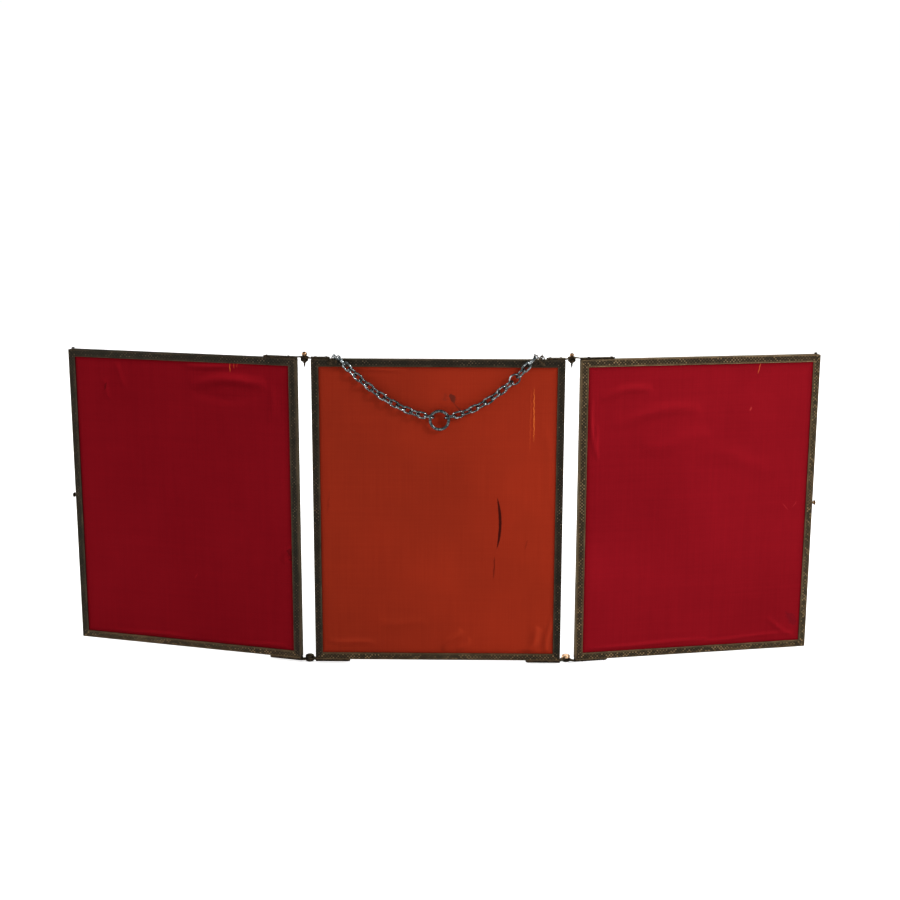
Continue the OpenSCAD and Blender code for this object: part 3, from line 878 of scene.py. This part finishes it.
COPPER_NUT = MetalFinish(
    "copper_nut", (0.4, 0.21, 0.11), (0.1, 0.05, 0.027), (0.045, 0.036, 0.022),
    green_amount=0.3, roughness=0.34, size=0.4, grain=0.25, handled=0.8,
)
CHAIN_STEEL = MetalFinish(
    "blued_steel", (0.36, 0.4, 0.41), (0.012, 0.018, 0.02), (0.008, 0.021, 0.02),
    green_amount=0.5, roughness=0.2, size=0.35, grain=0.08, handled=0.95, coat=0.3,
    rim=(0.3, 0.34, 0.36),
)
RING_STEEL = MetalFinish(
    "dark_blued_steel", (0.2, 0.23, 0.235), (0.009, 0.0145, 0.016), (0.007, 0.018, 0.017),
    green_amount=0.5, roughness=0.26, size=0.35, grain=0.08, handled=0.6, coat=0.25,
    rim=(0.28, 0.32, 0.34),
)
TIE_WIRE = MetalFinish(
    "rusty_wire", (0.14, 0.1, 0.075), (0.02, 0.015, 0.012), (0.013, 0.014, 0.011),
    green_amount=0.3, roughness=0.42, size=0.3, grain=0.3, handled=0.5,
)
MIRROR = PlateFinish("silvered_glass", (0.56, 0.6, 0.61), (0.49, 0.525, 0.53), 0.03, 1.0, 30.0)
FELT = PlateFinish("pressed_felt", (0.1, 0.13, 0.1), (0.05, 0.07, 0.05), 0.95, size=1400.0)
BOARD = PlateFinish("millboard", (0.34, 0.27, 0.18), (0.24, 0.18, 0.12), 0.85, size=500.0)

ORANGE_SATIN = SatinFinish(
    "orange_satin", (0.198, 0.0155, 0.0057), (0.146, 0.0118, 0.0047), (0.45, 0.05, 0.018),
    painted_light_across=0.8,
    marks=(
        Mark(0.1805, 0.139, 0.026, 0.0015, (0.02, 0.003, 0.0025), 0.95, 0.0, -4.8, 0.1),
        Mark(0.175, 0.094, 0.012, 0.0007, (0.05, 0.005, 0.003), 0.6, 0.05, -4.0, 0.4),
        Mark(0.206, 0.118, 0.005, 0.0007, (0.06, 0.006, 0.003), 0.4, 0.2, 0.0, 0.5),
        Mark(0.2118, 0.246, 0.027, 0.0005, (0.5, 0.11, 0.02), 0.7, -0.01, 0.0, 0.9),
        Mark(0.2085, 0.24, 0.032, 0.0007, (0.35, 0.045, 0.012), 0.3, 0.01, 0.0, 1.0),
        Mark(0.134, 0.262, 0.0048, 0.0022, (0.05, 0.012, 0.008), 0.75, -0.35, 0.0, 0.7),
        Mark(0.1405, 0.251, 0.009, 0.0008, (0.07, 0.011, 0.007), 0.65, -0.9, 0.0, 0.5),
        Mark(0.1265, 0.263, 0.0042, 0.002, (0.1, 0.014, 0.008), 0.35, 0.2, 0.0, 0.8),
        Mark(0.014, 0.16, 0.012, 0.0008, (0.08, 0.007, 0.004), 0.35, 0.1, 0.0, 0.9),
    ),
)
# painted shade: the right wing's crimson, painted darker for the shade on the left wing
SHADED_CRIMSON = SatinFinish(
    "dark_crimson_satin", (0.124, 0.0027, 0.0055), (0.104, 0.002, 0.0044), (0.34, 0.008, 0.014),
    painted_light_across=0.3,
    shift=0.37,
    marks=(
        Mark(0.0665, 0.2885, 0.0055, 0.0004, (0.5, 0.12, 0.02), 0.5, 0.0, 0.0, 0.4),
        Mark(0.0625, 0.2905, 0.004, 0.0003, (0.45, 0.08, 0.02), 0.45, 0.1, 0.0, 0.4),
        Mark(0.059, 0.291, 0.003, 0.0003, (0.42, 0.06, 0.02), 0.4, -0.1, 0.0, 0.4),
        Mark(0.2015, 0.2635, 0.004, 0.0013, (0.05, 0.002, 0.003), 0.6, -0.3, 0.0, 0.6),
        Mark(0.008, 0.105, 0.007, 0.003, (0.035, 0.002, 0.003), 0.55, 0.2, 0.0, 0.7),
        Mark(0.11, 0.075, 0.003, 0.0006, (0.25, 0.01, 0.015), 0.4, -0.6, 0.0, 0.7),
    ),
)
# painted light: the same crimson as the left wing's cover, painted lighter for the light on the right wing
CRIMSON = SatinFinish(
    "crimson_satin", (0.165, 0.0038, 0.0075), (0.13, 0.0029, 0.0058), (0.44, 0.012, 0.02),
    painted_light_across=0.2,
    shift=0.71,
    marks=(
        Mark(0.178, 0.287, 0.006, 0.0005, (0.5, 0.1, 0.03), 0.45, 0.25, 0.0, 0.4),
        # painted highlights: two light strokes where small creases catch the light
        Mark(0.212, 0.147, 0.0035, 0.0005, (0.42, 0.03, 0.035), 0.3, -0.8, 0.0, 0.6),
        Mark(0.222, 0.149, 0.003, 0.0005, (0.42, 0.03, 0.035), 0.3, 0.7, 0.0, 0.6),
        Mark(0.171, 0.247, 0.002, 0.0009, (0.5, 0.06, 0.05), 0.3, 0.3, 0.0, 0.6),
        Mark(0.224, 0.03, 0.008, 0.004, (0.07, 0.004, 0.008), 0.4, -0.5, 0.0, 0.8),
    ),
)


# ---- Panels ----


@dataclass(frozen=True)
class Crease:
    """A soft fold in a cover, in mm from the cover's lower corner: two ends, width and height."""

    start: tuple[float, float]
    end: tuple[float, float]
    width: float
    height: float


@dataclass
class Panel:
    """One framed plate: four embossed rails, a satin cover, and the plates inside them."""

    name: str
    side: int
    edges: dict[Edge, str]
    finishes: dict[Edge, MetalFinish]
    satin: SatinFinish
    creases: tuple[Crease, ...] = ()
    seed: int = 1
    width: float = 242.0
    height: float = 300.0
    thickness: float = 7.2
    rail: float = 7.3
    metal: float = 0.6
    corner: float = 1.4
    gap: float = 6.6
    pivot_depth: float = 7.6
    round_r: float = 0.5
    bead_r: float = 0.45
    bead_depth: float = 0.1
    dish: float = 0.1
    dot_pitch: float = 3.2
    dot_radius: float = 0.8
    dot_rise: float = 0.22
    dots_middle: float = 3.35
    ring_step: float = 0.6
    rail_waves: float = 60.0
    rail_uneven: float = 0.05
    wear_waves: float = 45.0
    cover_steps: tuple[int, int] = (161, 201)
    cover_edge: float = 1.0
    cover_depth: float = 0.66
    pillow: float = 0.42
    pillow_reach: float = 2.2
    cover_waves: float = 130.0
    cover_uneven: float = 0.1
    highest: float = 2.2
    # how strongly a crease's slope turns into its painted highlight and shade
    painted_light_gain: float = 2.2
    # reach in mm of the painted shade along the cover's edges
    edge_shade_reach: float = 1.6
    cloth: float = 0.25
    body: str = field(init=False)
    pivot: list[float] = field(init=False)
    turn: float = field(init=False)
    base: float = field(init=False)

    def __post_init__(self) -> None:
        """Finds the panel's body and the line that it turns about."""
        self.body = "centre_panel" if self.side == 0 else f"{self.name}_wing"
        joints = {joint["name"]: joint for joint in frame["joints"]}
        joint = joints["left_wing_fold" if self.side == 0 else f"{self.name}_wing_fold"]
        self.pivot = [value / MM for value in joint["pos_m"]]
        self.turn = 0.0 if self.side == 0 else math.radians(180 - joint["range_deg"][1])
        self.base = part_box("centre_bottom_rail")[0][2] / MM

    def place(self, x: np.ndarray, y: np.ndarray, z: np.ndarray) -> np.ndarray:
        """Puts points of the flat panel where the folded panel is.

        Reach from the hinge line is turned about it by the fold's angle.

        Args:
            x: Distance outward from the near edge, in mm.
            y: Depth from the back face.
            z: Height above the bottom edge.

        Returns:
            Points in metres.
        """
        reach, depth = self.gap + x, y - self.pivot_depth
        across = reach * math.cos(self.turn) - depth * math.sin(self.turn)
        back = reach * math.sin(self.turn) + depth * math.cos(self.turn)
        way = self.side or 1
        spots = (self.pivot[0] + way * across, self.pivot[1] + back, self.base + z)
        return np.stack(np.broadcast_arrays(*spots), -1) * MM

    def section(self) -> np.ndarray:
        """Works out a rail's channel section as a closed loop.

        The back face has a low ridge near its outer edge and a bead on its lip, the outer face is
        flat between round corners, and the inner walls lie the metal's thickness inside.

        Returns:
            Rows of across, depth, the normal's two parts, the dots' share and the rubbing.
        """
        wide, thick, skin, r = self.rail, self.thickness, self.metal, self.round_r
        back = np.linspace(wide - 1.25, r, 19)
        ridge = bell(back, 0.9, 0.4, 0.16) + bell(back, 5.5, 0.3, 0.12)
        dots = band(back, 0.7, 6.0)
        places = zip(back, ridge, dots)
        rows = [(w, self.dish * d - h, 0, -1, d, min(1.0, 4 * h)) for w, h, d in places]
        rows += [(x, y, c, s, 0, 0.75) for x, y, c, s in arc(r, r, r, (-110, -135, -160))]
        rows += [(0, y, -1, 0, 0, 0.4) for y in np.linspace(r, thick - r, 9)]
        rows += [(x, y, c, s, 0, 0.75) for x, y, c, s in arc(r, thick - r, r, (160, 135, 110))]
        front = np.linspace(r, wide - 0.4, 14)
        rows += [(w, thick, 0, 1, d, 0.3) for w, d in zip(front, band(front, 1.2, 6.2))]
        rows += [(wide - 0.08, thick - 0.12, 0.7, 0.7, 0, 0.6), (wide, thick - 0.3, 1, 0, 0, 0.5)]
        rows += [(w, thick - skin, 0, 0, 0, 0) for w in (wide, 4.0, skin)]
        rows += [(skin, thick / 2, 0, 0, 0, 0)]
        rows += [(w, skin, 0, 0, 0, 0) for w in (skin, 4.0, wide)]
        bead = arc(wide - 0.5, self.bead_depth, self.bead_r, range(0, -181, -30))
        rows += [(x, y, c, s, 0, max(0.0, -s)) for x, y, c, s in bead]
        return np.array(rows, float)

    def rail_piece(self, edge: Edge) -> Object:
        """Carries the channel section along one side, cut to the mitres and rounded at the corners.

        Args:
            edge: Which rail.

        Returns:
            The new piece, which stands for the rail's part.
        """
        node = f"{self.name}_{self.edges[edge]}_rail"
        flat = edge in (Edge.TOP, Edge.BOTTOM)
        length = self.width if flat else self.height
        close = np.array([0, 0.2, 0.4, 0.7, 1.0, 1.4])
        middle = np.linspace(2.0, length - 2.0, int((length - 4) / self.ring_step))
        along = np.concatenate([close, middle, (length - close)[::-1]]) / length
        across, depth, nw, ny, share, rub = (column[:, None] for column in self.section().T)
        start = self.corner * (1 - math.sqrt(0.5))
        cut = np.maximum(across, start)
        run = cut + along[None, :] * (length - 2 * cut)
        end = np.clip(self.corner - np.minimum(run, length - run), 0, self.corner)
        rounded = self.corner - np.sqrt(self.corner**2 - end**2)
        middles = across - self.dots_middle
        dots, shine = staggered_dots(run, middles, self.dot_pitch, self.dot_radius)
        pit, dots, shine = share * (1 - dots), share * dots, share * shine
        seed = self.seed * 10 + list(Edge).index(edge)
        uneven = self.rail_uneven * waves(run, across * 3 + depth * 5, seed, self.rail_waves)
        uneven *= np.abs(nw) + np.abs(ny) > 0
        rise = self.dot_rise * dots + uneven
        w = np.maximum(across + nw * rise, rounded)
        y = depth + ny * rise + 0 * run
        x = {Edge.NEAR: w, Edge.FAR: self.width - w}.get(edge, run)
        z = {Edge.BOTTOM: w, Edge.TOP: self.height - w}.get(edge, run)
        patchy = 0.6 + 0.7 * waves(run, across, seed + 5, self.wear_waves)
        wear = np.clip(rub * patchy + 0.12 * dots, 0, 1)
        values = {"rub": wear, "pit": pit, "shine": shine}
        piece = surface(f"{node}_metal", self.place(x, y, z), True, True, values)
        face_outwards(piece)
        piece.data.materials.append(self.finishes[edge].material())
        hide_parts(node)
        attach(piece, self.body)
        return piece

    def cover(self) -> Object:
        """Stretches the satin over its wadding.

        Height is a pillow that rises within a few mm of the lips, plus each crease's bell across
        its line and slow waves. The back layer lies a thread's thickness behind. Each crease's
        slope also sets painted light: the side that faces up and to the right is painted lighter
        as a highlight, and the other side darker as shade. Within a few mm of the lips the cover
        gets painted shade, where the rails shade it.

        Returns:
            The new piece.
        """
        wide, high = self.width - 2 * self.cover_edge, self.height - 2 * self.cover_edge
        columns, rows = self.cover_steps
        places = np.linspace(0, wide, columns), np.linspace(0, high, rows)
        u, v = np.meshgrid(*places, indexing="ij")
        inset = np.minimum(np.minimum(u, wide - u), np.minimum(v, high - v))
        inset -= self.rail - self.cover_edge
        rise = self.pillow * (1 - np.exp(-np.clip(inset + 0.5, 0, None) / self.pillow_reach))
        slow = waves(u, v, self.seed + 40, self.cover_waves)
        rise += self.cover_uneven * slow * np.clip(inset / 12, 0, 1)
        folds = sum(self.fold_height(fold, u, v) for fold in self.creases)
        folds *= np.clip(inset / 4, 0, 1)
        rise += folds
        slope_u, slope_v = np.gradient(folds, u[1, 0], v[0, 1])
        # painted light: positive where a crease's side faces up and to the right, negative on its shaded side
        nap = np.clip((-slope_u * (self.side or 1) - slope_v) * self.painted_light_gain, -1, 1)
        # painted shade, falling off within a few mm of the rails' lips
        tucked = np.exp(-np.clip(inset, 0, None) / self.edge_shade_reach)
        y = self.cover_depth - np.clip(rise, 0, self.highest)
        points = self.place(u + self.cover_edge, y, v + self.cover_edge)
        flat = np.stack([u, v], -1) * MM
        values = {"tucked": tucked, "nap": nap}
        piece = surface(f"{self.name}_satin_cover", points, values=values, uv=flat)
        if self.side != 1:
            piece.data.flip_normals()
        wall = piece.modifiers.new("cloth_thickness", "SOLIDIFY")
        wall.thickness = self.cloth * MM
        wall.offset = -1
        piece.data.materials.append(self.satin.material())
        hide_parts(f"{self.name}_satin")
        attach(piece, self.body)
        return piece

    @staticmethod
    def fold_height(fold: Crease, u: np.ndarray, v: np.ndarray) -> np.ndarray:
        """Works out one crease: a bell across its line that fades towards both ends.

        Args:
            fold: The crease.
            u: First coordinate in mm.
            v: Second coordinate in mm.

        Returns:
            The height in mm.
        """
        (x0, z0), (x1, z1) = fold.start, fold.end
        length = math.hypot(x1 - x0, z1 - z0)
        along = ((u - x0) * (x1 - x0) + (v - z0) * (z1 - z0)) / length**2
        off = ((u - x0) * (z1 - z0) - (v - z0) * (x1 - x0)) / length
        off = off + 0.6 * fold.width * np.sin(along * 5.0 + x0)
        ends = np.clip(1 - (2 * along - 1) ** 2, 0, 1) ** 0.7
        return fold.height * ends * np.exp(-((off / fold.width) ** 2))

    def plates(self) -> None:
        """Gives the glass, the felt and the board their finishes."""
        for part, finish in (("mirror", MIRROR), ("felt", FELT), ("board", BOARD)):
            dress(f"{self.name}_{part}", finish.material())

    def build(self) -> None:
        """Builds the whole panel."""
        for edge in Edge:
            log.info("made %s", self.rail_piece(edge).name)
        log.info("made %s", self.cover().name)
        self.plates()


LEFT_CREASES = (
    Crease((26, 291), (116, 288), 2.6, 1.02),
    Crease((30, 277), (110, 269), 5.0, 1.61),
    Crease((34, 262), (106, 257), 5.0, -0.51),
    Crease((20, 272), (28, 236), 4.0, 0.35),
    Crease((192, 288), (178, 262), 3.0, 0.32),
    Crease((205, 270), (196, 250), 2.6, 0.35),
    Crease((4, 120), (16, 96), 2.4, 0.85),
    Crease((14, 9), (92, 8), 2.2, 0.68),
    Crease((120, 8), (210, 10), 2.2, 0.59),
)
CENTRE_CREASES = (
    Crease((6, 290), (90, 289), 1.8, 0.51),
    Crease((126, 8), (142, 32), 3.0, 1.1),
    Crease((140, 8), (152, 22), 2.5, 0.68),
    Crease((204, 6), (222, 32), 4.0, 1.36),
    Crease((226, 6), (232, 46), 2.6, 0.85),
    Crease((60, 40), (110, 34), 5.0, 0.42),
    Crease((220, 240), (232, 150), 4.0, 0.2),
    Crease((10, 20), (60, 14), 3.0, 0.51),
)
RIGHT_CREASES = (
    Crease((30, 238), (120, 250), 6.0, 1.0),
    Crease((60, 214), (130, 219), 8.0, 0.7),
    Crease((18, 262), (70, 272), 4.0, 0.85),
    Crease((9, 262), (12, 206), 1.6, 0.8),
    Crease((14, 236), (17, 200), 1.6, 0.5),
    Crease((120, 200), (210, 190), 9.0, 0.45),
    Crease((10, 11), (140, 12), 1.8, 0.6),
    Crease((130, 11), (226, 14), 1.6, 0.5),
    Crease((196, 30), (228, 12), 2.6, 0.35),
)


def dress(node: str, material: Material) -> None:
    """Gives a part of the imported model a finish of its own.

    Args:
        node: Name of the part.
        material: The finish's material.
    """
    part = frame["nodes"][node]
    part.data.materials.clear()
    part.data.materials.append(material)


# ---- Fittings ----

DARK_FITTINGS = (
    "top_left_centre_strap", "top_left_wing_strap", "top_right_centre_strap",
    "top_right_wing_strap", "bottom_left_centre_strap", "bottom_left_wing_strap",
    "bottom_right_centre_strap", "bottom_right_wing_strap", "centre_rivets", "left_rivets",
    "right_rivets", "bottom_left_pin", "bottom_right_pin", "top_left_finial",
    "top_right_finial", "left_knob", "left_stud", "right_stud", "left_hanger_eye",
    "right_hanger_eye",
)
FITTINGS = {
    **{name: (BRASS_FITTING, "patinated_brass") for name in DARK_FITTINGS},
    "hanger_screw": (BRASS_FITTING, "worn_brass"),
    "top_left_pin": (RUBBED_BALL, "worn_brass"),
    "top_right_pin": (RUBBED_BALL, "worn_brass"),
    "right_knob": (RUBBED_BALL, "worn_brass"),
    "bottom_left_nut": (BRASS_FITTING, "copper_nut"),
    "bottom_right_nut": (COPPER_NUT, "copper_nut"),
}
CHAIN = {
    "left_chain": (CHAIN_STEEL, "chain_metal"),
    "right_chain": (CHAIN_STEEL, "chain_metal"),
    "replacement_link": (CHAIN_STEEL, "chain_metal"),
    "left_wire_tie": (CHAIN_STEEL, "chain_metal"),
    "right_wire_tie": (TIE_WIRE, "tie_wire"),
    "hanging_ring": (RING_STEEL, "chain_metal"),
}


@dataclass(frozen=True)
class MetalPieces:
    """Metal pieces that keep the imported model's shape, with softened edges or smoothed faces."""

    plan: dict[str, tuple[MetalFinish, str]]
    bevel: float = 0.0
    smooth_to: float = SHARP

    def build(self) -> None:
        """Makes a softened copy of each piece, dresses it and lets it ride its body."""
        bodies = frame["record"]["behaviour"]["bodies"]
        body_of = {node: body for body, nodes in bodies.items() for node in nodes}
        for node, (finish, slot) in self.plan.items():
            piece = softened_copy(node, self.bevel, self.smooth_to)
            piece.data.materials.append(finish.material())
            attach(piece, body_of[node])
            log.info("made %s", piece.name)


# ---- Studio ----


@dataclass
class Studio:
    """The floor, the lights and the camera."""

    lens: float = 56.19
    stand: Triple = (0.02642, -1.35194, 0.4894)
    pitch: float = 0.2033
    yaw: float = -0.0127
    roll: float = 0.0028
    left_glow: float = 4.9
    right_glow: float = 1.6
    top_glow: float = 0.6
    dim_glow: float = 0.08
    seen_glow: float = 1.02
    sensor: float = 36.0
    nearest: float = 0.05
    farthest: float = 20.0
    floor_reach: float = 6.0
    floor_drop: float = 0.0001
    floor_glow: float = 0.35
    floor_seen_glow: float = 0.6

    def camera(self) -> None:
        """Stands the camera: right, forward and up are turned by yaw, pitch and roll."""
        cp, sp = math.cos(self.pitch), math.sin(self.pitch)
        cy, sy = math.cos(self.yaw), math.sin(self.yaw)
        cr, sr = math.cos(self.roll), math.sin(self.roll)
        tip = np.array([[1, 0, 0], [0, cp, -sp], [0, sp, cp]])
        turn = np.array([[cy, -sy, 0], [sy, cy, 0], [0, 0, 1]])
        lean = np.array([[cr, 0, sr], [0, 1, 0], [-sr, 0, cr]])
        right, forward, up = lean @ tip @ turn
        data = bpy.data.cameras.new("camera")
        data.lens = self.lens
        data.sensor_width = self.sensor
        data.clip_start, data.clip_end = self.nearest, self.farthest
        camera = add_object("camera", data)
        columns = np.array([right, up, -forward]).T
        camera.matrix_world = Matrix.Translation(self.stand) @ Matrix(columns.tolist()).to_4x4()
        bpy.context.scene.camera = camera

    def floor(self) -> None:
        """Lays a wide pale floor."""
        sides = [-self.floor_reach, self.floor_reach]
        x, y = np.meshgrid(sides, sides, indexing="ij")
        floor = surface("floor", np.stack([x, y, 0 * x - self.floor_drop], -1))
        floor.data.flip_normals()
        made, graph, shader = new_material("pale_floor")
        seen = graph.add("ShaderNodeLightPath").outputs["Is Camera Ray"]
        looks = {
            "Base Color": (0.93, 0.93, 0.93, 1),
            "Roughness": 0.9,
            "Specular IOR Level": 0.1,
            "Emission Color": (1, 1, 1, 1),
            "Emission Strength": graph.ramp(seen, 0.0, 1.0, self.floor_glow, self.floor_seen_glow),
        }
        graph.fill(shader, looks)
        floor.data.materials.append(made)

    def light(self, name: str, at: tuple, aim_height: float, size: float, power: float) -> None:
        """Hangs one soft square light that shines at the object's middle.

        Args:
            name: Name of the light.
            at: Where it hangs.
            aim_height: Height of what it shines at.
            size: Length of its side.
            power: Its power in watts.
        """
        data = bpy.data.lights.new(name, "AREA")
        data.size, data.energy = size, power
        lamp = add_object(name, data)
        lamp.location = at
        way = Vector((0, 0, aim_height)) - Vector(at)
        lamp.rotation_mode = "QUATERNION"
        lamp.rotation_quaternion = way.to_track_quat("-Z", "Y")

    def world(self) -> None:
        """Sets a white surround, whose light is bright at both sides and dim elsewhere."""
        world = bpy.data.worlds.new("studio")
        bpy.context.scene.world = world
        world.use_nodes = True
        graph = Graph(world.node_tree)
        shade = world.node_tree.nodes["Background"]
        way = graph.coordinates("Generated")
        split = graph.add("ShaderNodeSeparateXYZ", {0: way}).outputs
        left = graph.ramp(split["X"], -0.7, -0.84, 0.0, self.left_glow)
        right = graph.ramp(split["X"], 0.7, 0.84, 0.0, self.right_glow)
        glow = graph.math("*", graph.math("+", left, right), graph.ramp(split["Z"], -0.45, -0.1))
        above = graph.ramp(split["Z"], 0.5, 0.9, self.dim_glow, self.top_glow)
        glow = graph.math("+", glow, above)
        seen = graph.add("ShaderNodeLightPath").outputs["Is Camera Ray"]
        shown = graph.math("*", graph.math("-", 1.0, seen), glow)
        shown = graph.math("+", shown, graph.math("*", seen, self.seen_glow))
        graph.fill(shade, {"Color": (1, 1, 1, 1), "Strength": shown})

    def build(self) -> None:
        """Builds the studio."""
        bpy.context.scene.view_settings.view_transform = "Standard"
        self.camera()
        self.floor()
        self.world()
        self.light("key", (1.2, -1.1, 1.25), 0.17, 0.36, 25.5)
        self.light("second", (-0.9, -1.3, 1.0), 0.15, 0.4, 1.2)
        self.light("front", (0.0, -1.9, 0.75), 0.15, 0.7, 3.4)
        self.light("mirror_side", (0.3, 1.6, 1.3), 0.15, 1.0, 14)


def main() -> None:
    """Builds the object and its studio."""
    logging.basicConfig(level=logging.INFO, format="%(message)s")
    for build in (tarnish_group, weave_group, mark_group):
        log.info("made group %s", build().name)
    Studio().build()
    centre = dict(zip(Edge, ("left", "right", "top", "bottom")))
    wing = dict(zip(Edge, ("inner", "outer", "top", "bottom")))
    dark = dict(zip(Edge, (BRONZE, BRONZE, BRONZE, OLIVE_BRASS)))
    warm = dict(zip(Edge, (OLIVE_BRASS, WARM_BRASS, OLIVE_BRASS, WARM_BRASS)))
    Panel("centre", 0, centre, dark, ORANGE_SATIN, CENTRE_CREASES, seed=1).build()
    Panel("left", -1, wing, dark, SHADED_CRIMSON, LEFT_CREASES, seed=2).build()
    Panel("right", 1, wing, warm, CRIMSON, RIGHT_CREASES, seed=3, pivot_depth=11.6).build()
    MetalPieces(FITTINGS, bevel=0.12 * MM).build()
    MetalPieces(CHAIN, smooth_to=math.radians(80)).build()


if __name__ == "__main__":
    main()
